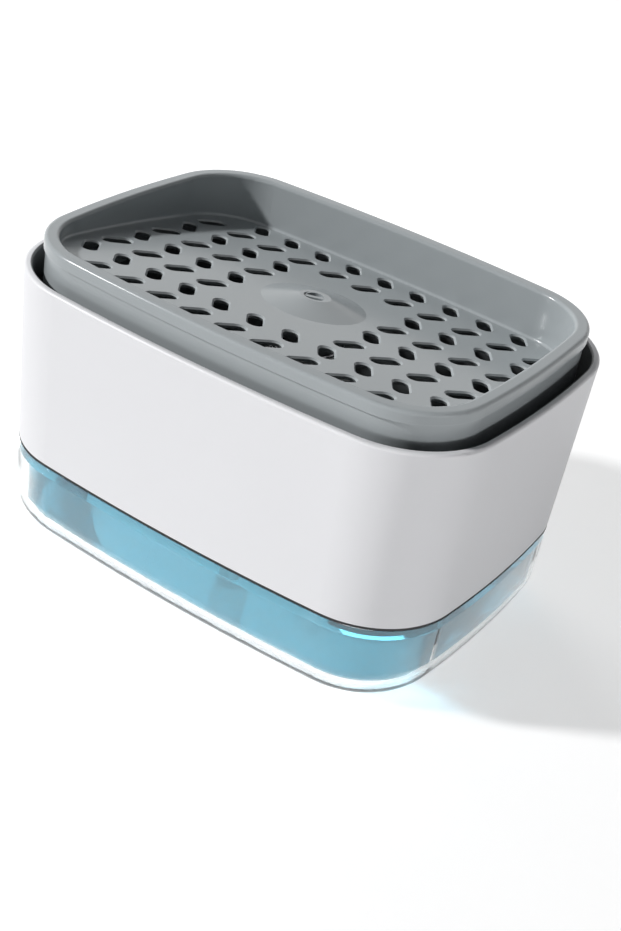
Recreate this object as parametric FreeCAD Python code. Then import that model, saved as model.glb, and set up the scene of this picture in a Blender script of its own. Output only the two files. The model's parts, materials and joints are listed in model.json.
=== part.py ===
import FreeCAD, Part
import math
import os

from FreeCAD import Vector

# Soap pump caddy. Millimetres, +Z up, origin at the middle of the base, front towards -Y.

# Plan of the caddy: a rounded rectangle with slightly bowed sides, measured at the shell's top edge
shell_half_length = 70.0
shell_half_width = 52.0
shell_corner_radius = 26.5
end_bow = 1.0
side_bow = 1.6

# Outer shell: white sleeve that draws in downwards
shell_height = 50.0
shell_draft = 1.75
shell_wall = 2.2
shell_edge_radius = 0.8

# Reservoir: clear tub with a shoulder under the shell and a neck inside it
tub_height = 25.2
tub_draft = 0.6
tub_edge_radius = 11.0
tub_floor = 3.6
tub_wall = 3.0
tub_inner_radius = 7.0
tub_step_height = 4.0
neck_share = 0.336
neck_wall = 2.2
neck_gap = 0.25

# Black ring in the seam between shell and tub
seam_gasket_thickness = 0.8
seam_gasket_margin = 0.15

# Inner deck: lid of the tub, which carries the pump and catches drips
deck_seal_thickness = 1.2
deck_thickness = 2.4
deck_margin = 0.2
deck_rim_height = 5.0
deck_rim_wall = 1.8
deck_lip_depth = 5.0
deck_lip_wall = 1.8
deck_lip_clearance = 0.3
pump_neck_radius = 12.5
pump_neck_height = 4.4
pump_neck_clearance = 0.6

# Pump cylinder and its gasket
pump_gasket_thickness = 1.0
cylinder_bore_radius = 7.0
cylinder_wall = 1.2
cylinder_floor = 1.5
cylinder_end_gap = 1.5
cylinder_flange_radius = 12.0
cylinder_flange_thickness = 1.6

# Stem guide in the top of the cylinder
guide_flange_radius = 10.0
guide_flange_thickness = 1.0
guide_plug_length = 6.0
guide_collar_radius = 5.4
guide_collar_rise = 0.6
running_clearance = 0.08

# Screw closure that holds the cylinder down on the neck
closure_wall = 2.8
closure_top_thickness = 2.0
closure_deck_gap = 0.6
closure_side_clearance = 0.15
closure_rib_radius = 0.7
closure_rib_count = 24

# Inlet valve at the foot of the cylinder
inlet_ball_radius = 3.0
inlet_ball_lift = 1.5
inlet_ball_clearance = 0.5
inlet_hole_radius = 1.7
inlet_barrel_wall = 1.5
inlet_web = 1.5
inlet_cage_thickness = 1.2
inlet_cage_hole_radius = 0.8
inlet_cage_hole_count = 4
ball_seat_gap = 0.03

# Dip tube
dip_tube_radius = 3.0
dip_tube_bore_radius = 2.0
dip_tube_insert = 6.0
dip_tube_foot_gap = 2.0

# Piston, its stem and the foot that holds the piston on
piston_length = 8.0
piston_lip_height = 1.6
piston_waist_depth = 0.8
piston_clearance = 0.04
piston_rest_gap = 0.6
stem_radius = 3.8
stem_bore_radius = 2.0
foot_flange_radius = 5.5
foot_flange_thickness = 1.5
foot_plug_length = 4.0
foot_bore_radius = 1.2

# Outlet valve in the head of the stem
outlet_ball_radius = 2.5
outlet_ball_lift = 1.5
outlet_ball_clearance = 0.4
outlet_hole_radius = 1.5
outlet_web = 1.2
stem_head_radius = 5.0
stem_head_length = 7.3

# Nozzle in the middle of the tray
nozzle_tip_radius = 3.0
nozzle_tip_drop = 0.2
nozzle_flange_thickness = 1.6
nozzle_bore_radius = 1.5
nozzle_well_radius = 2.5
nozzle_well_depth = 1.2
nozzle_bar_width = 1.1
nozzle_bar_angle = 24.0
nozzle_notch_width = 1.2
nozzle_notch_depth = 0.8

# Return spring round the stem
spring_coil_radius = 9.5
spring_wire_radius = 0.6
spring_pad_drop = 5.3
spring_turns = 4.5
spring_arcs_per_turn = 4
spring_seat_gap = 0.02

# Pressing tray: rim, sloping floor, skirt and the boss under its middle
tray_clearance = 2.4
tray_rise = 8.0
tray_rim_width = 4.0
tray_rim_height = 3.2
tray_rim_step = 0.55
tray_rim_radius = 1.0
tray_wall = 2.2
tray_skirt_depth = 20.0
floor_drop = 8.1
floor_slope = 7.8
floor_thickness = 1.5
floor_foot_radius = 0.7
spring_pad_radius = 12.0
boss_radius = 7.2
boss_press_gap = 0.8
socket_roof = 3.0
cone_base_radius = 14.0
cone_top_radius = 4.2
cone_height = 2.1

# Drain slots: a square lattice without its corners and without a block in the middle
slot_end_margin = 8.15
slot_side_margin = 6.1
slot_columns = 11
slot_rows = 8
slot_bare_columns = 3
slot_bare_rows = 4
slot_length = 8.0
slot_width = 3.8
slot_lean_angle = 57.0
slot_chamfer = 0.45
slot_flare = 1.0

# Reach of a cutting tool past the face that it cuts, and the play allowed when edges are picked by height
overrun = 2.0
match_tolerance = 0.001

# Heights: base, shell and tray first, then the pump between deck and tray
shoulder_z = tub_height
shell_base_z = shoulder_z + seam_gasket_thickness
shell_top_z = shell_base_z + shell_height
tray_rim_z = shell_top_z + tray_rise
tray_band_z = tray_rim_z - tray_rim_height
tray_skirt_z = tray_rim_z - tray_skirt_depth
floor_z = tray_rim_z - floor_drop
socket_top_z = floor_z - socket_roof
nozzle_z = socket_top_z - nozzle_flange_thickness
nozzle_tip_z = floor_z + cone_height - nozzle_tip_drop
outlet_ball_z = nozzle_z - outlet_ball_lift - outlet_ball_radius
outlet_seat_z = outlet_ball_z - ball_seat_gap + outlet_hole_radius - outlet_ball_radius * math.sqrt(2)
boss_z = nozzle_z - stem_head_length
spring_top_z = floor_z - spring_pad_drop
tub_rim_z = shoulder_z + neck_share * shell_height
deck_z = tub_rim_z + deck_seal_thickness
deck_top_z = deck_z + deck_thickness
pump_neck_z = deck_top_z + pump_neck_height
cylinder_flange_z = pump_neck_z + pump_gasket_thickness
guide_z = cylinder_flange_z + cylinder_flange_thickness
closure_roof_z = guide_z + guide_flange_thickness
closure_top_z = closure_roof_z + closure_top_thickness
guide_top_z = closure_top_z + guide_collar_rise
press_stroke = boss_z - guide_top_z - boss_press_gap
piston_top_z = guide_z - guide_plug_length - piston_rest_gap
piston_z = piston_top_z - piston_length
foot_z = piston_z - foot_flange_thickness
cylinder_end_z = foot_z - press_stroke - cylinder_end_gap
inlet_cage_z = cylinder_end_z - inlet_cage_thickness
inlet_ball_z = inlet_cage_z - inlet_ball_lift - inlet_ball_radius
inlet_seat_z = inlet_ball_z - ball_seat_gap + inlet_hole_radius - inlet_ball_radius * math.sqrt(2)
dip_tube_top_z = inlet_seat_z - inlet_web
cylinder_nipple_z = dip_tube_top_z - dip_tube_insert
dip_tube_z = tub_floor + dip_tube_foot_gap

# Insets of the nested outlines from the shell's top outline
shell_foot_inner_inset = shell_draft + shell_wall
neck_inset = shell_foot_inner_inset + neck_gap
neck_inner_inset = neck_inset + neck_wall
tub_inner_inset = shell_draft + tub_wall
deck_inset = neck_inset + deck_margin
deck_lip_inset = neck_inner_inset + deck_lip_clearance
tray_inset = shell_wall + tray_clearance
tray_skirt_inset = tray_inset + tray_rim_step
recess_inset = tray_inset + tray_rim_width

# Spacing of the drain slots, from the size of the tray's recess
slot_pitch_x = 2 * (shell_half_length - recess_inset - slot_end_margin) / (slot_columns - 1)
slot_pitch_y = 2 * (shell_half_width - recess_inset - slot_side_margin) / (slot_rows - 1)

# Radii of the pump's bores and barrels
cylinder_radius = cylinder_bore_radius + cylinder_wall
inlet_bore_radius = inlet_ball_radius + inlet_ball_clearance
inlet_barrel_radius = inlet_bore_radius + inlet_barrel_wall
guide_bore_radius = stem_radius + running_clearance
outlet_bore_radius = outlet_ball_radius + outlet_ball_clearance
closure_bore_radius = pump_neck_radius + closure_side_clearance
closure_radius = closure_bore_radius + closure_wall

AXIS = Vector(0, 0, 1)
ORIGIN = Vector(0, 0, 0)


def plan(inset, z):
    """Closed outline of the caddy in plan, drawn in by inset, at height z: eight tangent arcs."""
    half_length = shell_half_length - inset
    half_width = shell_half_width - inset
    radius = shell_corner_radius - inset
    corner_x = half_length - radius - end_bow
    corner_y = half_width - radius - side_bow
    reach = corner_x ** 2 + corner_y ** 2
    end_offset = (reach - (half_length - radius) ** 2) / (2 * end_bow)
    side_offset = (reach - (half_width - radius) ** 2) / (2 * side_bow)
    end_angle = math.atan2(corner_y, corner_x + end_offset)
    side_angle = math.atan2(corner_y + side_offset, corner_x)
    quarter = [(half_length, 0)]
    for angle in (end_angle, (end_angle + side_angle) / 2, side_angle):
        quarter.append((corner_x + radius * math.cos(angle), corner_y + radius * math.sin(angle)))
    quarter.append((0, half_width))
    half = quarter + [(-x, y) for x, y in reversed(quarter[:-1])]
    whole = half + [(x, -y) for x, y in reversed(half[1:-1])]
    points = [Vector(x, y, z) for x, y in whole[-1:] + whole[:-1]]
    edges = []
    for i in range(0, len(points), 2):
        last = points[(i + 2) % len(points)]
        edges.append(Part.Arc(points[i], points[i + 1], last).toShape())
    return Part.Wire(edges)


def prism(inset, low_z, high_z):
    """Upright solid on the caddy's outline."""
    return Part.Face(plan(inset, low_z)).extrude(Vector(0, 0, high_z - low_z))


def drafted(*sections):
    """Solid through outlines given as (inset, z), straight from one to the next."""
    return Part.makeLoft([plan(inset, z) for inset, z in sections], True, True)


def turned(*profile):
    """Solid of revolution about the pump's axis from (radius, z) points."""
    points = [Vector(radius, 0, z) for radius, z in profile]
    face = Part.Face(Part.makePolygon(points + points[:1]))
    return face.revolve(ORIGIN, AXIS, 360)


def rod(radius, low_z, high_z):
    """Upright cylinder on the pump's axis."""
    return Part.makeCylinder(radius, high_z - low_z, Vector(0, 0, low_z))


def bar(length, width, low_z, high_z):
    """Upright block centred on the pump's axis."""
    corner = Vector(-length / 2, -width / 2, low_z)
    return Part.makeBox(length, width, high_z - low_z, corner)


def round_at(shape, z, radius):
    """Shape with every edge at height z rounded."""
    edges = []
    for edge in shape.Edges:
        heights = [vertex.Z for vertex in edge.Vertexes] + [edge.CenterOfMass.z]
        if all(abs(height - z) < match_tolerance for height in heights):
            edges.append(edge)
    return shape.makeFillet(radius, edges)


def shell_inset(z):
    """Inset of the shell's outer face at height z."""
    return shell_draft * (shell_top_z - z) / shell_height


def outer_shell():
    outer = drafted((shell_draft, shell_base_z), (0, shell_top_z))
    low_z = shell_base_z - overrun
    high_z = shell_top_z + overrun
    inner = drafted((shell_inset(low_z) + shell_wall, low_z), (shell_inset(high_z) + shell_wall, high_z))
    return round_at(outer.cut(inner), shell_top_z, shell_edge_radius)


def reservoir():
    tub = drafted((shell_draft + tub_draft, 0), (shell_draft, shoulder_z))
    tub = round_at(tub, 0, tub_edge_radius)
    neck = prism(neck_inset, shoulder_z / 2, tub_rim_z)
    cavity = drafted(
        (tub_inner_inset + tub_draft, tub_floor),
        (tub_inner_inset, shoulder_z - tub_step_height),
        (neck_inner_inset, shoulder_z),
        (neck_inner_inset, tub_rim_z + overrun),
    )
    cavity = round_at(cavity, tub_floor, tub_inner_radius)
    return tub.fuse(neck).cut(cavity)


def seam_gasket():
    outer = prism(shell_draft + seam_gasket_margin, shoulder_z, shell_base_z)
    inner = prism(shell_foot_inner_inset, shoulder_z - overrun, shell_base_z + overrun)
    return outer.cut(inner)


def deck_seal():
    outer = prism(deck_inset, tub_rim_z, deck_z)
    inner = prism(neck_inner_inset - deck_margin, tub_rim_z - overrun, deck_z + overrun)
    return outer.cut(inner)


def inner_deck():
    plate = prism(deck_inset, deck_z, deck_top_z + deck_rim_height)
    hollow = prism(deck_inset + deck_rim_wall, deck_top_z, deck_top_z + deck_rim_height + overrun)
    lip = prism(deck_lip_inset, deck_z - deck_lip_depth, deck_z)
    lip_hollow = prism(deck_lip_inset + deck_lip_wall, deck_z - deck_lip_depth - overrun, deck_z)
    neck = rod(pump_neck_radius, deck_z, pump_neck_z)
    bore = rod(cylinder_radius + pump_neck_clearance, deck_z - overrun, pump_neck_z + overrun)
    return plate.cut(hollow).fuse([lip.cut(lip_hollow), neck]).cut(bore).removeSplitter()


def pump_gasket():
    ring = rod(cylinder_flange_radius, pump_neck_z, cylinder_flange_z)
    return ring.cut(rod(cylinder_radius, pump_neck_z - overrun, cylinder_flange_z + overrun))


def pump_cylinder():
    return turned(
        (cylinder_bore_radius, guide_z),
        (cylinder_flange_radius, guide_z),
        (cylinder_flange_radius, cylinder_flange_z),
        (cylinder_radius, cylinder_flange_z),
        (cylinder_radius, cylinder_end_z - cylinder_floor),
        (inlet_barrel_radius, cylinder_end_z - cylinder_floor),
        (inlet_barrel_radius, cylinder_nipple_z),
        (dip_tube_radius, cylinder_nipple_z),
        (dip_tube_radius, dip_tube_top_z),
        (inlet_hole_radius, dip_tube_top_z),
        (inlet_hole_radius, inlet_seat_z),
        (inlet_bore_radius, inlet_seat_z + inlet_bore_radius - inlet_hole_radius),
        (inlet_bore_radius, cylinder_end_z),
        (cylinder_bore_radius, cylinder_end_z),
    )


def inlet_ball():
    return Part.makeSphere(inlet_ball_radius, Vector(0, 0, inlet_ball_z))


def inlet_cage():
    disc = rod(inlet_bore_radius, inlet_cage_z, cylinder_end_z)
    ring_radius = inlet_bore_radius - 2 * inlet_cage_hole_radius
    height = inlet_cage_thickness + 2 * overrun
    holes = []
    for i in range(inlet_cage_hole_count):
        angle = 2 * math.pi * i / inlet_cage_hole_count
        place = Vector(ring_radius * math.cos(angle), ring_radius * math.sin(angle), inlet_cage_z - overrun)
        holes.append(Part.makeCylinder(inlet_cage_hole_radius, height, place))
    return disc.cut(holes)


def dip_tube():
    tube = rod(dip_tube_radius, dip_tube_z, dip_tube_top_z)
    return tube.cut(rod(dip_tube_bore_radius, dip_tube_z - overrun, dip_tube_top_z + overrun))


def stem_guide():
    return turned(
        (guide_bore_radius, guide_z - guide_plug_length),
        (cylinder_bore_radius, guide_z - guide_plug_length),
        (cylinder_bore_radius, guide_z),
        (guide_flange_radius, guide_z),
        (guide_flange_radius, closure_roof_z),
        (guide_collar_radius, closure_roof_z),
        (guide_collar_radius, guide_top_z),
        (guide_bore_radius, guide_top_z),
    )


def pump_closure():
    cap = turned(
        (guide_collar_radius, closure_roof_z),
        (closure_bore_radius, closure_roof_z),
        (closure_bore_radius, deck_top_z + closure_deck_gap),
        (closure_radius, deck_top_z + closure_deck_gap),
        (closure_radius, closure_top_z),
        (guide_collar_radius, closure_top_z),
    )
    rib_z = deck_top_z + closure_deck_gap
    ribs = []
    for i in range(closure_rib_count):
        angle = 2 * math.pi * i / closure_rib_count
        place = Vector(closure_radius * math.cos(angle), closure_radius * math.sin(angle), rib_z)
        ribs.append(Part.makeCylinder(closure_rib_radius, closure_roof_z - rib_z, place))
    return cap.fuse([rib.cut(rod(closure_bore_radius, rib_z, closure_roof_z)) for rib in ribs])


def piston():
    lip_radius = cylinder_bore_radius - piston_clearance
    waist_radius = lip_radius - piston_waist_depth
    lower_z = piston_z + piston_lip_height
    upper_z = piston_top_z - piston_lip_height
    return turned(
        (stem_radius, piston_z),
        (lip_radius, piston_z),
        (lip_radius, lower_z),
        (waist_radius, lower_z + piston_waist_depth),
        (waist_radius, upper_z - piston_waist_depth),
        (lip_radius, upper_z),
        (lip_radius, piston_top_z),
        (stem_radius, piston_top_z),
    )


def stem_foot():
    return turned(
        (foot_bore_radius, foot_z),
        (foot_flange_radius, foot_z),
        (foot_flange_radius, piston_z),
        (stem_bore_radius, piston_z),
        (stem_bore_radius, piston_z + foot_plug_length),
        (foot_bore_radius, piston_z + foot_plug_length),
    )


def piston_stem():
    return turned(
        (stem_bore_radius, piston_z),
        (stem_radius, piston_z),
        (stem_radius, boss_z),
        (stem_head_radius, boss_z),
        (stem_head_radius, nozzle_z),
        (outlet_bore_radius, nozzle_z),
        (outlet_bore_radius, outlet_seat_z + outlet_bore_radius - outlet_hole_radius),
        (outlet_hole_radius, outlet_seat_z),
        (outlet_hole_radius, outlet_seat_z - outlet_web),
        (stem_bore_radius, outlet_seat_z - outlet_web),
    )


def outlet_ball():
    return Part.makeSphere(outlet_ball_radius, Vector(0, 0, outlet_ball_z))


def nozzle():
    """Outlet plug with a well in its tip, bridged by a bar."""
    body = turned(
        (0, nozzle_z),
        (stem_head_radius, nozzle_z),
        (stem_head_radius, socket_top_z),
        (nozzle_tip_radius, socket_top_z),
        (nozzle_tip_radius, nozzle_tip_z),
        (0, nozzle_tip_z),
    )
    well_z = nozzle_tip_z - nozzle_well_depth
    notch_z = nozzle_z + nozzle_notch_depth
    bridge = bar(2 * nozzle_tip_radius, nozzle_bar_width, well_z, nozzle_tip_z + overrun)
    bridge.rotate(ORIGIN, AXIS, nozzle_bar_angle)
    cuts = [
        rod(nozzle_bore_radius, nozzle_z - overrun, well_z),
        rod(nozzle_well_radius, well_z, nozzle_tip_z + overrun).cut(bridge),
        bar(2 * outlet_bore_radius, nozzle_notch_width, nozzle_z - overrun, notch_z),
        bar(nozzle_notch_width, 2 * outlet_bore_radius, nozzle_z - overrun, notch_z),
    ]
    return body.cut(cuts)


def helix_frame(turn):
    """Point and unit tangent of the spring's centre line after a number of turns."""
    low_z = closure_top_z + spring_seat_gap + spring_wire_radius
    high_z = spring_top_z - spring_seat_gap - spring_wire_radius
    pitch = (high_z - low_z) / spring_turns
    angle = 2 * math.pi * turn
    along = Vector(-math.sin(angle), math.cos(angle), pitch / (2 * math.pi * spring_coil_radius))
    point = Vector(math.cos(angle), math.sin(angle), 0) * spring_coil_radius
    return point + AXIS * (low_z + pitch * turn), along.normalize()


def tangent_arc(start, knee, end):
    """Arc from start to end whose end tangents meet at knee."""
    lean = start.distanceToPoint(end) / (2 * start.distanceToPoint(knee))
    middle = (start + end + knee * (2 * lean)) * (1 / (2 + 2 * lean))
    return Part.Arc(start, middle, end).toShape()


def biarc(start, start_tangent, end, end_tangent):
    """Two tangent arcs that leave and arrive along the given unit tangents."""
    chord = end - start
    bend = 1 - start_tangent.dot(end_tangent)
    run = chord.dot(start_tangent + end_tangent)
    arm = (math.sqrt(run ** 2 + 2 * bend * chord.dot(chord)) - run) / (2 * bend)
    knee = start + start_tangent * arm
    far_knee = end - end_tangent * arm
    joint = (knee + far_knee) * (1 / 2)
    return [tangent_arc(start, knee, joint), tangent_arc(joint, far_knee, end)]


def return_spring():
    count = round(spring_turns * spring_arcs_per_turn)
    frames = [helix_frame(spring_turns * i / count) for i in range(count + 1)]
    edges = []
    for (start, start_tangent), (end, end_tangent) in zip(frames, frames[1:]):
        edges += biarc(start, start_tangent, end, end_tangent)
    path = Part.Wire(edges)
    start, tangent = frames[0]
    section = Part.Wire(Part.makeCircle(spring_wire_radius, start, tangent))
    points = path.discretize(Number=count * spring_arcs_per_turn + 1)
    apart = len(points) / spring_turns / 2
    gaps = [
        first.distanceToPoint(second)
        for i, first in enumerate(points)
        for j, second in enumerate(points)
        if j - i > apart
    ]
    print("spring: least gap between turns", round(min(gaps) - 2 * spring_wire_radius, 2), "mm")
    return path.makePipeShell([section], True, False)


def floor_block(offset, height):
    """Large block standing on the tray's floor plane, or hanging below it, moved along its normal by offset."""
    low = min(offset, offset + height)
    corner = Vector(-2 * shell_half_length, -2 * shell_half_width, low)
    block = Part.makeBox(4 * shell_half_length, 4 * shell_half_width, abs(height), corner)
    return on_floor(block)


def on_floor(shape):
    """Shape moved from the level plane to the tray's sloping floor, which falls towards the back."""
    shape.rotate(ORIGIN, Vector(1, 0, 0), -floor_slope)
    shape.translate(Vector(0, 0, floor_z))
    return shape


def slot_outline(grow, z):
    """Round-ended slot outline along X, enlarged all round by grow."""
    radius = slot_width / 2 + grow
    centre_x = (slot_length - slot_width) / 2
    corners = [Vector(x, y, z) for x, y in ((-centre_x, -radius), (centre_x, -radius))]
    corners += [Vector(x, y, z) for x, y in ((centre_x, radius), (-centre_x, radius))]
    tips = [Vector(centre_x + radius, 0, z), Vector(-centre_x - radius, 0, z)]
    edges = [
        Part.LineSegment(corners[0], corners[1]).toShape(),
        Part.Arc(corners[1], tips[0], corners[2]).toShape(),
        Part.LineSegment(corners[2], corners[3]).toShape(),
        Part.Arc(corners[3], tips[1], corners[0]).toShape(),
    ]
    return Part.Wire(edges)


def slot_cutter():
    """One drain slot through the level floor, bevelled at its mouth and widening below."""
    low_z = -floor_thickness - overrun
    spread = slot_flare * (low_z + slot_chamfer) / (slot_chamfer - floor_thickness)
    shaft = Part.makeLoft([slot_outline(spread, low_z), slot_outline(0, -slot_chamfer)], True, True)
    mouth = Part.makeLoft([slot_outline(0, -slot_chamfer), slot_outline(slot_chamfer, 0)], True, True)
    cap = Part.Face(slot_outline(slot_chamfer, 0)).extrude(AXIS * overrun)
    return shaft.fuse([mouth, cap])


def slot_places():
    """Column and row of each drain slot, counted from the middle of the lattice."""
    for row in range(slot_rows):
        for column in range(slot_columns):
            x = column - (slot_columns - 1) / 2
            y = row - (slot_rows - 1) / 2
            at_corner = column in (0, slot_columns - 1) and row in (0, slot_rows - 1)
            in_middle = abs(x) < slot_bare_columns / 2 and abs(y) < slot_bare_rows / 2
            if not at_corner and not in_middle:
                yield x, y, row


def drain_slots():
    """All drain slots on the sloping floor, leaning one way and the other by turns from row to row."""
    cutter = slot_cutter()
    slots = []
    for x, y, row in slot_places():
        slot = cutter.copy()
        lean = slot_lean_angle if row % 2 == 0 else -slot_lean_angle
        slot.rotate(ORIGIN, AXIS, lean)
        slot.translate(Vector(x * slot_pitch_x, y * slot_pitch_y, 0))
        slots.append(on_floor(slot))
    return slots


def tray_blank():
    """Rim band and skirt as one solid block."""
    band = prism(tray_inset, tray_band_z, tray_rim_z)
    return band.fuse(prism(tray_skirt_inset, tray_skirt_z, tray_band_z))


def tray_recess():
    """Hollow above the sloping floor, with its foot rounded."""
    hollow = prism(recess_inset, tray_skirt_z, tray_rim_z + overrun)
    hollow = hollow.common(floor_block(0, shell_height))
    fall = math.tan(math.radians(floor_slope))
    foot = []
    for edge in hollow.Edges:
        heights = [vertex.Z + fall * vertex.Y - floor_z for vertex in edge.Vertexes]
        if all(abs(height) < match_tolerance for height in heights):
            foot.append(edge)
    return hollow.makeFillet(floor_foot_radius, foot)


def tray_underside():
    """Hollow under the floor, inside the skirt."""
    hollow = prism(tray_skirt_inset + tray_wall, tray_skirt_z - overrun, tray_rim_z)
    return hollow.common(floor_block(-floor_thickness, -shell_height))


def tray_boss():
    """Spring pad and stem socket under the floor, and the cone above it."""
    posts = rod(spring_pad_radius, spring_top_z, tray_rim_z).fuse(rod(boss_radius, boss_z, tray_rim_z))
    posts = posts.common(floor_block(0, -shell_height))
    base = Vector(0, 0, -floor_thickness / 2)
    foot_radius = cone_base_radius + (cone_base_radius - cone_top_radius) * floor_thickness / 2 / cone_height
    cone = Part.makeCone(foot_radius, cone_top_radius, cone_height + floor_thickness / 2, base)
    return posts.fuse(on_floor(cone))


def tray():
    body = tray_blank().cut(tray_recess())
    body = round_at(body, tray_rim_z, tray_rim_radius)
    body = body.cut(tray_underside())
    body = body.fuse(tray_boss())
    socket = rod(stem_head_radius, boss_z - overrun, socket_top_z)
    outlet = rod(nozzle_tip_radius, socket_top_z - overrun, nozzle_tip_z + overrun)
    return body.cut([socket, outlet] + drain_slots())


PIECES = [
    reservoir,
    seam_gasket,
    outer_shell,
    deck_seal,
    inner_deck,
    pump_gasket,
    pump_cylinder,
    inlet_ball,
    inlet_cage,
    dip_tube,
    stem_guide,
    pump_closure,
    piston,
    stem_foot,
    piston_stem,
    outlet_ball,
    nozzle,
    return_spring,
    tray,
]

os.makedirs("parts", exist_ok=True)
for piece in PIECES:
    shape = piece()
    print(piece.__name__, "valid", shape.isValid(), "solids", len(shape.Solids), "volume", round(shape.Volume, 1))
    shape.exportStep("parts/" + piece.__name__ + ".step")
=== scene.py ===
# %% [markdown]
# # A soap pump caddy, dressed for the studio
# The caddy's solids come packed in one file, each piece as a node with a name of its own: white sleeve, clear tub,
# grey pressing tray and the small pump between them. This lesson gives those nodes their finishes, fills the tub
# with soap, winds the return spring and sets up camera and light. The nodes themselves stay as they are, so every
# piece keeps the size and the place that it was built with.

# %% Load the solids
import json
import math

import bpy
from mathutils import Matrix, Vector

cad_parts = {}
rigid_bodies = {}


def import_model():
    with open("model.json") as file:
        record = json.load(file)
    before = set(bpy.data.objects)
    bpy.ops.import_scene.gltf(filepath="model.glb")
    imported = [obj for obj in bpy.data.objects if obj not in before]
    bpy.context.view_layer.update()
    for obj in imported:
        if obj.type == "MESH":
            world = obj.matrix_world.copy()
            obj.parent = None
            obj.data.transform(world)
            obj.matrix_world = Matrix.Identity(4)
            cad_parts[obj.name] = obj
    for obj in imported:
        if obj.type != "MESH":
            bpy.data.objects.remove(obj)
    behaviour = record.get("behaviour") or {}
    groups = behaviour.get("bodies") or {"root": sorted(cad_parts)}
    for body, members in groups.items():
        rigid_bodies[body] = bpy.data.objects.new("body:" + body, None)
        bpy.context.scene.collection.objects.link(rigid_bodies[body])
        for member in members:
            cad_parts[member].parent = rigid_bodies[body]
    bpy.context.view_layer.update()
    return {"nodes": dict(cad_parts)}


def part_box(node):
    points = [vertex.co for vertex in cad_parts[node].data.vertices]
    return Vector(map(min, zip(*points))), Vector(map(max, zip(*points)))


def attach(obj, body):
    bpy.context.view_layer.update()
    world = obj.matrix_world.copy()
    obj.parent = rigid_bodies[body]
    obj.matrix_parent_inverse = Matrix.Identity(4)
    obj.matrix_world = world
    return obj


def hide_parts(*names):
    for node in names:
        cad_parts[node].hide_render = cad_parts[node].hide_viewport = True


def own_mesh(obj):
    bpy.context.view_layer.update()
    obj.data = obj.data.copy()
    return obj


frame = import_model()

# %% [markdown]
# ## Camera
# The photograph looks down at the caddy from the front right, and the caddy leans in it. A camera that is turned
# about its own axis gives the same picture of a caddy that stands level: the floor is plain, so nothing else shows
# the turn. The lens and the place of the camera come from matching the tray's slots and the edges of the sleeve.

# %% Place the camera
CAMERA_EYE = Vector((0.18634, -0.31947, 0.24829))
CAMERA_AIM = Vector((0.00958, -0.00332, 0.03231))
CAMERA_ROLL = math.radians(10.41)
CAMERA_LENS = 60.75

camera_data = bpy.data.cameras.new("studio_camera")
camera_data.sensor_width = 36
camera_data.lens = CAMERA_LENS
camera_data.clip_start = 0.01
camera = bpy.data.objects.new("studio_camera", camera_data)
bpy.context.collection.objects.link(camera)
level_view = (CAMERA_AIM - CAMERA_EYE).to_track_quat("-Z", "Y").to_matrix().to_4x4()
camera.matrix_world = Matrix.Translation(CAMERA_EYE) @ level_view @ Matrix.Rotation(CAMERA_ROLL, 4, "Z")
bpy.context.scene.camera = camera
bpy.context.scene.view_settings.view_transform = "Standard"
print("camera stands", round((CAMERA_AIM - CAMERA_EYE).length, 3), "m from its aim")

# %% [markdown]
# ## Node helpers
# Every finish below is a small net of shader nodes. Four helpers keep that readable: one adds a node and sets its
# values, one does sums with sockets and numbers, one blends two colours by a mask, and one tells direct looks from
# the light that bounces about.


# %% Helpers for shader nodes
def add_node(tree, kind, values=None, **settings):
    """New node of a tree, with settings on the node and values on its inputs by name or number."""
    node = tree.nodes.new(kind)
    for name, value in settings.items():
        setattr(node, name, value)
    for name, value in (values or {}).items():
        node.inputs[name].default_value = value
    return node


def math_node(tree, operation, first, second, clamp=False):
    """Output of a math node. Each operand is a number or a socket."""
    node = add_node(tree, "ShaderNodeMath", operation=operation, use_clamp=clamp)
    for number, operand in enumerate((first, second)):
        if isinstance(operand, (int, float)):
            node.inputs[number].default_value = operand
        else:
            tree.links.new(operand, node.inputs[number])
    return node.outputs[0]


def colour_mix(tree, mask, low, high):
    """Colour socket that goes from low to high with a mask. Each colour is a triple or a socket."""
    node = add_node(tree, "ShaderNodeMix", data_type="RGBA")
    tree.links.new(mask, node.inputs["Factor"])
    for number, colour in ((6, low), (7, high)):
        if isinstance(colour, tuple):
            node.inputs[number].default_value = (*colour, 1)
        else:
            tree.links.new(colour, node.inputs[number])
    return node.outputs[2]


def seen_directly(tree):
    """Socket that is 1 for rays from the camera, from a mirror surface or through clear plastic."""
    path = add_node(tree, "ShaderNodeLightPath")
    straight = math_node(tree, "MAXIMUM", path.outputs["Is Camera Ray"], path.outputs["Is Glossy Ray"])
    return math_node(tree, "MAXIMUM", straight, path.outputs["Is Transmission Ray"])


# %% [markdown]
# ## White surroundings
# The caddy stands in a white studio. The surroundings could be bright lamps, but those would also bleach the
# object. Instead the world shows plain white to the camera and in reflections, and lights the caddy only faintly.

# %% World
AMBIENT_STRENGTH = 0.08
AMBIENT_COLOUR = (0.93, 0.96, 1.0, 1)

world = bpy.data.worlds.new("white_studio")
bpy.context.scene.world = world
world.use_nodes = True
world.node_tree.nodes.clear()
ambient = add_node(
    world.node_tree, "ShaderNodeBackground", {"Color": AMBIENT_COLOUR, "Strength": AMBIENT_STRENGTH}
)
backdrop = add_node(world.node_tree, "ShaderNodeBackground", {"Color": (1, 1, 1, 1), "Strength": 1})
world_mix = add_node(world.node_tree, "ShaderNodeMixShader")
world_output = add_node(world.node_tree, "ShaderNodeOutputWorld")
world.node_tree.links.new(seen_directly(world.node_tree), world_mix.inputs[0])
world.node_tree.links.new(ambient.outputs[0], world_mix.inputs[1])
world.node_tree.links.new(backdrop.outputs[0], world_mix.inputs[2])
world.node_tree.links.new(world_mix.outputs[0], world_output.inputs[0])

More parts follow.
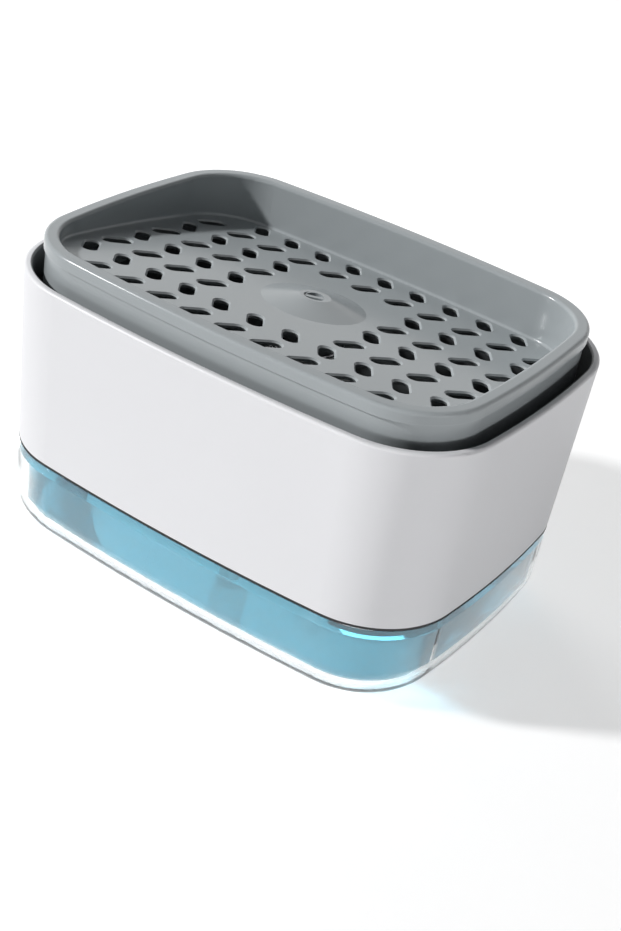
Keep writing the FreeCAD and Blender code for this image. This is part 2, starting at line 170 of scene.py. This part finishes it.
# %% [markdown]
# The floor is one large pale sheet. A little glow for direct looks lifts it to white where the lamp reaches it, and
# the caddy's shadow stays visible, because the glow is small. Far out the sheet fades into the white of the world.

# %% Floor
FLOOR_SIZE = 8.0
FLOOR_DROP = 0.0002
FLOOR_GREY = (0.7, 0.7, 0.7, 1)
FLOOR_GLOW = 0.55
FLOOR_FADE_START = 0.5
FLOOR_FADE_END = 1.6

bpy.ops.object.select_all(action="DESELECT")
bpy.ops.mesh.primitive_plane_add(size=FLOOR_SIZE, location=(0, 0, -FLOOR_DROP))
floor = bpy.context.object
floor.name = "floor"
floor_finish = bpy.data.materials.new("floor_white")
floor_finish.use_nodes = True
floor_tree = floor_finish.node_tree
floor_tree.nodes.clear()
floor_coat = add_node(floor_tree, "ShaderNodeBsdfDiffuse", {"Color": FLOOR_GREY})
floor_glow = add_node(floor_tree, "ShaderNodeEmission", {"Color": (1, 1, 1, 1)})
floor_white = add_node(floor_tree, "ShaderNodeEmission", {"Color": (1, 1, 1, 1), "Strength": 1})
floor_sum = add_node(floor_tree, "ShaderNodeAddShader")
floor_mix = add_node(floor_tree, "ShaderNodeMixShader")
floor_output = add_node(floor_tree, "ShaderNodeOutputMaterial")
floor_seen = seen_directly(floor_tree)
floor_place = add_node(floor_tree, "ShaderNodeTexCoord")
floor_reach = add_node(floor_tree, "ShaderNodeVectorMath", operation="LENGTH")
floor_fade = add_node(
    floor_tree, "ShaderNodeMapRange", {"From Min": FLOOR_FADE_START, "From Max": FLOOR_FADE_END}
)
floor_tree.links.new(floor_place.outputs["Object"], floor_reach.inputs[0])
floor_tree.links.new(floor_reach.outputs["Value"], floor_fade.inputs["Value"])
floor_tree.links.new(math_node(floor_tree, "MULTIPLY", floor_seen, FLOOR_GLOW), floor_glow.inputs["Strength"])
floor_tree.links.new(floor_coat.outputs[0], floor_sum.inputs[0])
floor_tree.links.new(floor_glow.outputs[0], floor_sum.inputs[1])
floor_tree.links.new(
    math_node(floor_tree, "MULTIPLY", floor_seen, floor_fade.outputs["Result"]), floor_mix.inputs[0]
)
floor_tree.links.new(floor_sum.outputs[0], floor_mix.inputs[1])
floor_tree.links.new(floor_white.outputs[0], floor_mix.inputs[2])
floor_tree.links.new(floor_mix.outputs[0], floor_output.inputs["Surface"])
floor.data.materials.append(floor_finish)
print("floor:", FLOOR_SIZE, "m square, just under the tub's base")

# %% [markdown]
# ## Light
# In the photograph the tray's left wall is in its own shade and that shade ends in a clear slanted line on the back
# wall. So one lamp stands high at the left front, and it is small for its distance. A long, low panel on the right
# lifts the shaded end of the sleeve. It is lower than the tray, so the tray's shade stays deep. A soft panel in
# front evens the sleeve's front, and one behind on the left brightens the tray's right wall. Mirror images of these
# two would draw white lines along the tray's rim that the photograph doesn't have, so glossy surfaces don't see them.

# %% Lamps
KEY_TRAVEL = Vector((1.3, 1.0, -1.0))
KEY_STRENGTH = 2.8
KEY_ANGLE = math.radians(5)
FILL_PLACE = Vector((0.58, -0.31, 0.035))
FILL_AIM = Vector((0.0, 0.0, 0.035))
FILL_SIZE = (0.7, 0.06)
FILL_POWER = 1.25
FRONT_PLACE = Vector((0.13, -0.61, 0.10))
FRONT_AIM = Vector((0.0, 0.0, 0.05))
FRONT_SIZE = (0.5, 0.15)
FRONT_POWER = 0.45
SHEEN_PLACE = Vector((-0.5, 0.34, 0.42))
SHEEN_AIM = Vector((0.0, 0.0, 0.075))
SHEEN_SIZE = (0.35, 0.35)
SHEEN_POWER = 1.75


def add_lamp(name, kind, place, travel, energy, mirrored=True):
    """Lamp that shines along a direction, with or without its mirror image in glossy surfaces."""
    data = bpy.data.lights.new(name, kind)
    data.energy = energy
    lamp = bpy.data.objects.new(name, data)
    lamp.location = place
    lamp.rotation_euler = travel.to_track_quat("-Z", "Y").to_euler()
    lamp.visible_glossy = mirrored
    bpy.context.collection.objects.link(lamp)
    return data


def add_panel(name, place, aim, size, power, mirrored):
    """Rectangular lamp that faces a point."""
    data = add_lamp(name, "AREA", place, aim - place, power, mirrored)
    data.shape = "RECTANGLE"
    data.size, data.size_y = size


key_lamp = add_lamp("key_lamp", "SUN", -KEY_TRAVEL, KEY_TRAVEL, KEY_STRENGTH)
key_lamp.angle = KEY_ANGLE
add_panel("fill_panel", FILL_PLACE, FILL_AIM, FILL_SIZE, FILL_POWER, mirrored=True)
add_panel("front_panel", FRONT_PLACE, FRONT_AIM, FRONT_SIZE, FRONT_POWER, mirrored=False)
add_panel("sheen_panel", SHEEN_PLACE, SHEEN_AIM, SHEEN_SIZE, SHEEN_POWER, mirrored=False)

# %% [markdown]
# ## Shared effects
# Moulded plastic is never quite even: the steel mould leaves a fine grain, and the flow of the melt leaves broad,
# faint clouds of gloss. Both come from noise on the piece's own coordinates, so they stay put when a piece moves.
# They are one node group, because nearly every finish here uses them with its own sizes.


# %% Group for grain and clouds
def new_group(name, inputs, outputs):
    """Empty node group with number sockets."""
    tree = bpy.data.node_groups.new(name, "ShaderNodeTree")
    for socket, default in inputs.items():
        made = tree.interface.new_socket(socket, in_out="INPUT", socket_type="NodeSocketFloat")
        made.default_value = default
    for socket in outputs:
        tree.interface.new_socket(socket, in_out="OUTPUT", socket_type="NodeSocketFloat")
    return tree, add_node(tree, "NodeGroupInput"), add_node(tree, "NodeGroupOutput")


moulded, moulded_in, moulded_out = new_group(
    "moulded_surface", {"Grain size": 0.0004, "Cloud size": 0.02}, ("Grain", "Cloud")
)
moulded_place = add_node(moulded, "ShaderNodeTexCoord")
for size_name, output_name, detail in (("Grain size", "Grain", 2.0), ("Cloud size", "Cloud", 4.0)):
    noise = add_node(moulded, "ShaderNodeTexNoise", {"Detail": detail, "Roughness": 0.55})
    moulded.links.new(moulded_place.outputs["Object"], noise.inputs["Vector"])
    moulded.links.new(math_node(moulded, "DIVIDE", 1.0, moulded_in.outputs[size_name]), noise.inputs["Scale"])
    moulded.links.new(noise.outputs["Fac"], moulded_out.inputs[output_name])
print("group:", moulded.name)

# %% [markdown]
# Edges that hands and cloths pass over get polished and a little paler. A Bevel node finds them: near an edge its
# rounded normal leaves the true normal, and the angle between the two is the mask. Noise breaks it into patches,
# since wear is never an even line.

# %% Group for worn edges
WEAR_GAIN = 5.0
WEAR_PATCH_LIFT = 0.25

worn, worn_in, worn_out = new_group("worn_edges", {"Radius": 0.0006, "Patch size": 0.006}, ("Mask",))
worn_place = add_node(worn, "ShaderNodeTexCoord")
worn_true = add_node(worn, "ShaderNodeNewGeometry")
worn_round = add_node(worn, "ShaderNodeBevel", samples=4)
worn_angle = add_node(worn, "ShaderNodeVectorMath", operation="DOT_PRODUCT")
worn_noise = add_node(worn, "ShaderNodeTexNoise", {"Detail": 3.0})
worn.links.new(worn_in.outputs["Radius"], worn_round.inputs["Radius"])
worn.links.new(worn_true.outputs["Normal"], worn_angle.inputs[0])
worn.links.new(worn_round.outputs["Normal"], worn_angle.inputs[1])
worn.links.new(worn_place.outputs["Object"], worn_noise.inputs["Vector"])
worn.links.new(math_node(worn, "DIVIDE", 1.0, worn_in.outputs["Patch size"]), worn_noise.inputs["Scale"])
worn_gap = math_node(worn, "SUBTRACT", 1.0, worn_angle.outputs["Value"])
worn_bend = math_node(worn, "MULTIPLY", worn_gap, WEAR_GAIN, clamp=True)
worn_patch = math_node(worn, "ADD", worn_noise.outputs["Fac"], WEAR_PATCH_LIFT, clamp=True)
worn.links.new(math_node(worn, "MULTIPLY", worn_bend, worn_patch, clamp=True), worn_out.inputs["Mask"])
print("group:", worn.name)

# %% [markdown]
# ## Opaque plastics
# The sleeve, the tray, the deck and the pump are injection moulded. They differ in colour, gloss and grain, so one
# function builds them all: clouds shift colour and gloss a little, worn edges are paler and smoother, and the grain
# goes into a bump.


# %% Finish for moulded plastic
WEAR_TINT_SHARE = 0.5
WEAR_POLISH = 0.08
GRAIN_STRENGTH = 0.35


def assign(material, *nodes):
    """The finish in the slots of the named nodes."""
    for name in nodes:
        piece = frame["nodes"][name]
        if not piece.material_slots:
            piece.data.materials.append(material)
        for holder in piece.material_slots:
            holder.material = material


def empty_material(name):
    """Material with nothing but a Principled shader and the output, and its tree."""
    material = bpy.data.materials.new(name)
    material.use_nodes = True
    tree = material.node_tree
    tree.nodes.clear()
    shader = add_node(tree, "ShaderNodeBsdfPrincipled")
    output = add_node(tree, "ShaderNodeOutputMaterial")
    tree.links.new(shader.outputs[0], output.inputs["Surface"])
    return material, tree, shader


def place_group(tree, group, **values):
    """Group node with its input values, given with spaces for underscores."""
    node = add_node(tree, "ShaderNodeGroup")
    node.node_tree = group
    for name, value in values.items():
        node.inputs[name.replace("_", " ")].default_value = value
    return node


def moulded_plastic(name, colour, worn_colour, gloss_range, grain_size, grain_depth, cloud_size, cloud_tint):
    """Plastic with grain, clouds of gloss and polished edges."""
    material, tree, shader = empty_material(name)
    surface = place_group(tree, moulded, Grain_size=grain_size, Cloud_size=cloud_size)
    edges = place_group(tree, worn)
    darker = tuple(channel * (1 - cloud_tint) for channel in colour)
    lighter = tuple(min(1.0, channel * (1 + cloud_tint)) for channel in colour)
    body = colour_mix(tree, surface.outputs["Cloud"], darker, lighter)
    worn_share = math_node(tree, "MULTIPLY", edges.outputs["Mask"], WEAR_TINT_SHARE)
    tree.links.new(colour_mix(tree, worn_share, body, worn_colour), shader.inputs["Base Color"])
    gloss = add_node(tree, "ShaderNodeMapRange", {"To Min": gloss_range[0], "To Max": gloss_range[1]})
    tree.links.new(surface.outputs["Cloud"], gloss.inputs["Value"])
    polish = math_node(tree, "MULTIPLY", edges.outputs["Mask"], WEAR_POLISH)
    tree.links.new(
        math_node(tree, "SUBTRACT", gloss.outputs["Result"], polish, clamp=True), shader.inputs["Roughness"]
    )
    bump = add_node(tree, "ShaderNodeBump", {"Strength": GRAIN_STRENGTH, "Distance": grain_depth})
    tree.links.new(surface.outputs["Grain"], bump.inputs["Height"])
    tree.links.new(bump.outputs["Normal"], shader.inputs["Normal"])
    return material, shader


# %% [markdown]
# The sleeve is a cool, satin white outside. The gap between tray and sleeve looks nearly black in the photograph,
# also where the wall beside it is well lit, so the inside of the sleeve is painted dark grey: painted shade for the
# deep gap, not a colour of the plastic. The two sides are told apart by the surface normal: on the outer side it
# points away from the middle of the caddy, on the inner side towards it.

# %% White sleeve with painted shade on its inside
# painted shade: the dark grey of the inside faces stands in for the shade in the narrow gap around the tray
SLEEVE_INSIDE_PAINTED_SHADE = (0.10, 0.105, 0.11)
INSIDE_TURN = (-0.030, -0.012)

shell_white, shell_shader = moulded_plastic(
    "shell_white",
    colour=(0.80, 0.80, 0.82),
    worn_colour=(0.86, 0.86, 0.87),
    gloss_range=(0.34, 0.44),
    grain_size=0.0005,
    grain_depth=0.00003,
    cloud_size=0.03,
    cloud_tint=0.012,
)
shell_tree = shell_white.node_tree
shell_place = add_node(shell_tree, "ShaderNodeTexCoord")
shell_reach = add_node(shell_tree, "ShaderNodeVectorMath", {1: (1, 1, 0)}, operation="MULTIPLY")
shell_facing = add_node(shell_tree, "ShaderNodeVectorMath", operation="DOT_PRODUCT")
shell_painted_shade_mask = add_node(
    shell_tree, "ShaderNodeMapRange", {"From Min": INSIDE_TURN[1], "From Max": INSIDE_TURN[0]}
)
shell_tree.links.new(shell_place.outputs["Object"], shell_reach.inputs[0])
shell_tree.links.new(shell_reach.outputs["Vector"], shell_facing.inputs[0])
shell_tree.links.new(shell_place.outputs["Normal"], shell_facing.inputs[1])
shell_tree.links.new(shell_facing.outputs["Value"], shell_painted_shade_mask.inputs["Value"])
shell_outside = shell_shader.inputs["Base Color"].links[0].from_socket
# the outside keeps its white, and the inside faces get the painted shade colour
shell_tree.links.new(
    colour_mix(shell_tree, shell_painted_shade_mask.outputs["Result"], shell_outside, SLEEVE_INSIDE_PAINTED_SHADE),
    shell_shader.inputs["Base Color"],
)
assign(shell_white, "outer_shell")
print("sleeve:", shell_white.name)

# %% [markdown]
# The tray is mid grey with a soft gloss, and its nozzle is of the same plastic. The deck below is painted much
# darker, as painted shade for the dark space under the tray: all that shows of it is what can be seen through the
# tray's slots, and those look nearly black. The pump's caps and its stem are plain white.

# %% Grey and pump plastics
TRAY_SPECULAR = 0.35

tray_grey, tray_shader = moulded_plastic(
    "tray_grey",
    colour=(0.375, 0.405, 0.418),
    worn_colour=(0.50, 0.53, 0.54),
    gloss_range=(0.15, 0.24),
    grain_size=0.0004,
    grain_depth=0.00003,
    cloud_size=0.025,
    cloud_tint=0.03,
)
tray_shader.inputs["Specular IOR Level"].default_value = TRAY_SPECULAR
assign(tray_grey, "tray", "nozzle")

# painted shade: the deck's near-black grey stands in for the shade under the tray, seen through the slots
deck_grey, _ = moulded_plastic(
    "deck_grey",
    colour=(0.11, 0.12, 0.125),
    worn_colour=(0.20, 0.21, 0.215),
    gloss_range=(0.36, 0.48),
    grain_size=0.0005,
    grain_depth=0.00004,
    cloud_size=0.02,
    cloud_tint=0.03,
)
assign(deck_grey, "inner_deck")

pump_white, _ = moulded_plastic(
    "pump_white",
    colour=(0.80, 0.81, 0.81),
    worn_colour=(0.87, 0.88, 0.88),
    gloss_range=(0.32, 0.45),
    grain_size=0.0003,
    grain_depth=0.00003,
    cloud_size=0.01,
    cloud_tint=0.015,
)
assign(pump_white, "stem_guide", "pump_closure", "stem_foot", "piston_stem")
print("plastics:", tray_grey.name, deck_grey.name, pump_white.name)

# %% [markdown]
# Unpigmented plastic and silicone let light in under their surface. They keep the same recipe, with some subsurface
# scattering on top: a few millimetres for the pump's barrel, less for the rubbery rings.

# %% Milky plastics and rubbers
pump_natural, natural_shader = moulded_plastic(
    "pump_natural",
    colour=(0.74, 0.78, 0.79),
    worn_colour=(0.84, 0.86, 0.87),
    gloss_range=(0.28, 0.40),
    grain_size=0.0003,
    grain_depth=0.00002,
    cloud_size=0.008,
    cloud_tint=0.02,
)
natural_shader.inputs["Subsurface Weight"].default_value = 0.4
natural_shader.inputs["Subsurface Radius"].default_value = (1.0, 1.0, 1.0)
natural_shader.inputs["Subsurface Scale"].default_value = 0.002
assign(pump_natural, "pump_cylinder", "inlet_cage", "dip_tube", "piston")

seal_silicone, silicone_shader = moulded_plastic(
    "seal_silicone",
    colour=(0.70, 0.72, 0.72),
    worn_colour=(0.76, 0.78, 0.78),
    gloss_range=(0.45, 0.60),
    grain_size=0.0003,
    grain_depth=0.00003,
    cloud_size=0.006,
    cloud_tint=0.03,
)
silicone_shader.inputs["Subsurface Weight"].default_value = 0.25
silicone_shader.inputs["Subsurface Scale"].default_value = 0.001
assign(seal_silicone, "deck_seal", "pump_gasket")

seam_black, _ = moulded_plastic(
    "seam_black",
    colour=(0.012, 0.012, 0.014),
    worn_colour=(0.05, 0.05, 0.052),
    gloss_range=(0.45, 0.60),
    grain_size=0.0003,
    grain_depth=0.00003,
    cloud_size=0.006,
    cloud_tint=0.10,
)
assign(seam_black, "seam_gasket")
print("milky and rubbery:", pump_natural.name, seal_silicone.name, seam_black.name)

# %% [markdown]
# ## Steel
# Balls and spring are drawn and polished steel. Fine lines along one direction come from noise that is stretched
# by a Mapping node. They change the gloss most and the colour only a little, because clean steel is nearly even.

# %% Polished steel
STEEL_LINES = (2600.0, 2600.0, 240.0)
STEEL_GLOSS = (0.14, 0.30)
STEEL_DARK = (0.56, 0.56, 0.58)
STEEL_LIGHT = (0.66, 0.66, 0.68)

valve_steel, steel_tree, steel_shader = empty_material("valve_steel")
steel_shader.inputs["Metallic"].default_value = 1.0
steel_place = add_node(steel_tree, "ShaderNodeTexCoord")
steel_stretch = add_node(steel_tree, "ShaderNodeMapping", {"Scale": STEEL_LINES})
steel_noise = add_node(steel_tree, "ShaderNodeTexNoise", {"Scale": 1.0, "Detail": 3.0})
steel_gloss = add_node(steel_tree, "ShaderNodeMapRange", {"To Min": STEEL_GLOSS[0], "To Max": STEEL_GLOSS[1]})
steel_tree.links.new(steel_place.outputs["Object"], steel_stretch.inputs["Vector"])
steel_tree.links.new(steel_stretch.outputs["Vector"], steel_noise.inputs["Vector"])
steel_tree.links.new(steel_noise.outputs["Fac"], steel_gloss.inputs["Value"])
steel_tree.links.new(steel_gloss.outputs["Result"], steel_shader.inputs["Roughness"])
steel_tree.links.new(
    colour_mix(steel_tree, steel_noise.outputs["Fac"], STEEL_DARK, STEEL_LIGHT),
    steel_shader.inputs["Base Color"],
)
assign(valve_steel, "inlet_ball", "outlet_ball")

# %% [markdown]
# ## Clear tub
# The tub is thick, clear, polished plastic. A Principled shader with nearly full transmission bends the light as
# the real wall does, and the small rest is the faint haze of a moulded wall. Lamps would be stopped by it and leave
# the inside dark, so for shadow rays alone a Transparent shader takes over. Slow waves in the wall, from the flow of
# the melt, make the reflections swim a little.


# %% Clear plastic
TUB_TINT = (0.96, 0.985, 0.99, 1)
TUB_LAMP_TINT = (0.93, 0.96, 0.97)
TUB_TRANSMISSION = 0.98
TUB_IOR = 1.49
TUB_ROUGHEST = 0.015


def let_lamps_through(tree, shader, colour):
    """For rays from the lamps, a see-through tint in place of the shader."""
    path = add_node(tree, "ShaderNodeLightPath")
    tint = add_node(tree, "ShaderNodeBsdfTransparent", {"Color": (*colour, 1)})
    mix = add_node(tree, "ShaderNodeMixShader")
    output = next(node for node in tree.nodes if node.type == "OUTPUT_MATERIAL")
    tree.links.new(path.outputs["Is Shadow Ray"], mix.inputs[0])
    tree.links.new(shader.outputs[0], mix.inputs[1])
    tree.links.new(tint.outputs[0], mix.inputs[2])
    tree.links.new(mix.outputs[0], output.inputs["Surface"])
    return output


clear_tub, tub_tree, tub_shader = empty_material("clear_tub")
tub_shader.inputs["Base Color"].default_value = TUB_TINT
tub_shader.inputs["Transmission Weight"].default_value = TUB_TRANSMISSION
tub_shader.inputs["IOR"].default_value = TUB_IOR
tub_surface = place_group(tub_tree, moulded, Grain_size=0.012, Cloud_size=0.03)
tub_gloss = add_node(tub_tree, "ShaderNodeMapRange", {"To Min": 0.0, "To Max": TUB_ROUGHEST})
tub_waves = add_node(tub_tree, "ShaderNodeBump", {"Strength": 0.15, "Distance": 0.00003})
tub_tree.links.new(tub_surface.outputs["Cloud"], tub_gloss.inputs["Value"])
tub_tree.links.new(tub_gloss.outputs["Result"], tub_shader.inputs["Roughness"])
tub_tree.links.new(tub_surface.outputs["Grain"], tub_waves.inputs["Height"])
tub_tree.links.new(tub_waves.outputs["Normal"], tub_shader.inputs["Normal"])
let_lamps_through(tub_tree, tub_shader, TUB_LAMP_TINT)
assign(clear_tub, "reservoir")
print("clear:", clear_tub.name)

# %% [markdown]
# ## Soap
# The tub is filled with clear blue soap to just above the seam, so no level shows from outside, and the pump's foot
# still stays clear of it at full stroke. Its shape is the tub's own hollow, so the plan is to take a copy of the
# tub's mesh, cut it off level at the fill height and keep only the inner skin. Below the cut the inner and outer
# skin no longer touch, so one face of the inner floor, grown to all that is linked to it, picks the whole hollow.

# %% Take the hollow of the tub
FILL_HEIGHT = 0.029
SOAP_CLEARANCE = 0.00004


def begin_edit(piece):
    """Edit mode on one piece, with nothing selected."""
    bpy.ops.object.select_all(action="DESELECT")
    piece.select_set(True)
    bpy.context.view_layer.objects.active = piece
    bpy.ops.object.mode_set(mode="EDIT")
    bpy.ops.mesh.select_mode(type="FACE")
    bpy.ops.mesh.select_all(action="DESELECT")


def pick_faces(piece, wanted):
    """Selects the faces for which wanted(face) holds."""
    bpy.ops.object.mode_set(mode="OBJECT")
    for face in piece.data.polygons:
        face.select = wanted(face)
    bpy.ops.object.mode_set(mode="EDIT")


soap = bpy.data.objects.new("soap", frame["nodes"]["reservoir"].data.copy())
soap.data.name = "soap"
bpy.context.collection.objects.link(soap)
begin_edit(soap)
bpy.ops.mesh.select_all(action="SELECT")
bpy.ops.mesh.remove_doubles(threshold=1e-6)
bpy.ops.mesh.customdata_custom_splitnormals_clear()
bpy.ops.mesh.bisect(plane_co=(0, 0, FILL_HEIGHT), plane_no=(0, 0, 1), clear_outer=True)
pick_faces(soap, lambda face: face.normal.z > 0.99 and face.center.z < FILL_HEIGHT / 4)
bpy.ops.mesh.select_linked()
bpy.ops.mesh.select_all(action="INVERT")
bpy.ops.mesh.delete(type="FACE")
bpy.ops.object.mode_set(mode="OBJECT")
print("hollow of the tub:", len(soap.data.polygons), "faces")

# %% [markdown]
# The open top is closed with one face. Real soap climbs the wall slightly, so that face is inset and pushed down
# twice, which leaves a small rounded meniscus. The skin came from the tub, so it still looks into the hollow, and
# its faces are turned round before it is drawn in by a hair from the wall.

# %% Close it and shape the surface
MENISCUS_STEPS = ((0.0006, 0.0005), (0.0012, 0.0003))

begin_edit(soap)
bpy.ops.mesh.select_mode(type="EDGE")
bpy.ops.mesh.select_non_manifold(extend=False)
bpy.ops.mesh.edge_face_add()
bpy.ops.mesh.select_all(action="SELECT")
bpy.ops.mesh.normals_make_consistent(inside=False)
bpy.ops.transform.shrink_fatten(value=-SOAP_CLEARANCE)
bpy.ops.mesh.select_mode(type="FACE")
for step, fall in MENISCUS_STEPS:
    pick_faces(soap, lambda face: len(face.vertices) > 20)
    bpy.ops.mesh.inset(thickness=step)
    bpy.ops.transform.translate(value=(0, 0, -fall))
bpy.ops.mesh.quads_convert_to_tris()
bpy.ops.object.mode_set(mode="OBJECT")
bpy.ops.object.shade_smooth_by_angle(angle=math.radians(40))
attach(soap, "container")
print("soap:", len(soap.data.polygons), "faces, top at", round(max(v.co.z for v in soap.data.vertices), 4))

# %% [markdown]
# Soap gets its colour from depth: a thin layer is almost clear and a thick one deep blue. Volume absorption does
# that. Fine bubbles also throw some of the light back, so a small share of the shader is plain blue and the rest
# bends and reflects.

# %% Soap colour
SOAP_TINT = (0.14, 0.54, 0.69, 1)
SOAP_LAMP_TINT = (0.62, 0.86, 0.94)
SOAP_DEEP = (0.25, 0.70, 0.86, 1)
SOAP_DENSITY = 3.0
SOAP_TRANSMISSION = 0.86
SOAP_IOR = 1.36
SOAP_ROUGHEST = 0.03

soap_blue, soap_tree, soap_shader = empty_material("soap_blue")
soap_shader.inputs["Base Color"].default_value = SOAP_TINT
soap_shader.inputs["Transmission Weight"].default_value = SOAP_TRANSMISSION
soap_shader.inputs["IOR"].default_value = SOAP_IOR
soap_surface = place_group(soap_tree, moulded, Grain_size=0.004, Cloud_size=0.02)
soap_gloss = add_node(soap_tree, "ShaderNodeMapRange", {"To Min": 0.0, "To Max": SOAP_ROUGHEST})
soap_tree.links.new(soap_surface.outputs["Cloud"], soap_gloss.inputs["Value"])
soap_tree.links.new(soap_gloss.outputs["Result"], soap_shader.inputs["Roughness"])
soap_output = let_lamps_through(soap_tree, soap_shader, SOAP_LAMP_TINT)
soap_depth = add_node(soap_tree, "ShaderNodeVolumeAbsorption", {"Color": SOAP_DEEP, "Density": SOAP_DENSITY})
soap_tree.links.new(soap_depth.outputs[0], soap_output.inputs["Volume"])
soap.data.materials.clear()
soap.data.materials.append(soap_blue)

# %% [markdown]
# ## Return spring
# The spring's node stays one stiff shape when the tray is pressed, but a real spring is squeezed. A wound piece takes
# its place: a ring of wire section, swept round and up by a Screw modifier, with both ends capped.

# %% Wind the spring
SPRING_WIRE = 0.0006
SPRING_TURNS = 4.5
SPRING_STEPS_PER_TURN = 40
SPRING_WIRE_SIDES = 14

spring_low, spring_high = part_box("return_spring")
coil_radius = spring_high.x - SPRING_WIRE
coil_rise = spring_high.z - spring_low.z - 2 * SPRING_WIRE
bpy.ops.object.select_all(action="DESELECT")
bpy.ops.mesh.primitive_circle_add(
    vertices=SPRING_WIRE_SIDES,
    radius=SPRING_WIRE,
    location=(coil_radius, 0, spring_low.z + SPRING_WIRE),
    rotation=(math.pi / 2, 0, 0),
)
spring = bpy.context.object
spring.name = "coil_spring"
bpy.ops.object.transform_apply(location=True, rotation=True, scale=True)
winding = spring.modifiers.new("winding", "SCREW")
winding.axis = "Z"
winding.angle = 2 * math.pi * SPRING_TURNS
winding.screw_offset = coil_rise
winding.steps = winding.render_steps = round(SPRING_TURNS * SPRING_STEPS_PER_TURN)
bpy.ops.object.modifier_apply(modifier=winding.name)
begin_edit(spring)
bpy.ops.mesh.select_mode(type="EDGE")
bpy.ops.mesh.select_non_manifold(extend=False)
bpy.ops.mesh.fill_holes(sides=0)
bpy.ops.mesh.select_all(action="SELECT")
bpy.ops.mesh.normals_make_consistent(inside=False)
bpy.ops.object.mode_set(mode="OBJECT")
bpy.ops.object.shade_smooth_by_angle(angle=math.radians(50))
spring.data.materials.append(valve_steel)
print("spring:", SPRING_TURNS, "turns,", len(spring.data.polygons), "faces")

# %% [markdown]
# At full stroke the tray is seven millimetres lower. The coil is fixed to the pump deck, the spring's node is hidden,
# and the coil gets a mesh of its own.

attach(spring, "pump_deck")
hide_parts("return_spring")
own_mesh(spring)
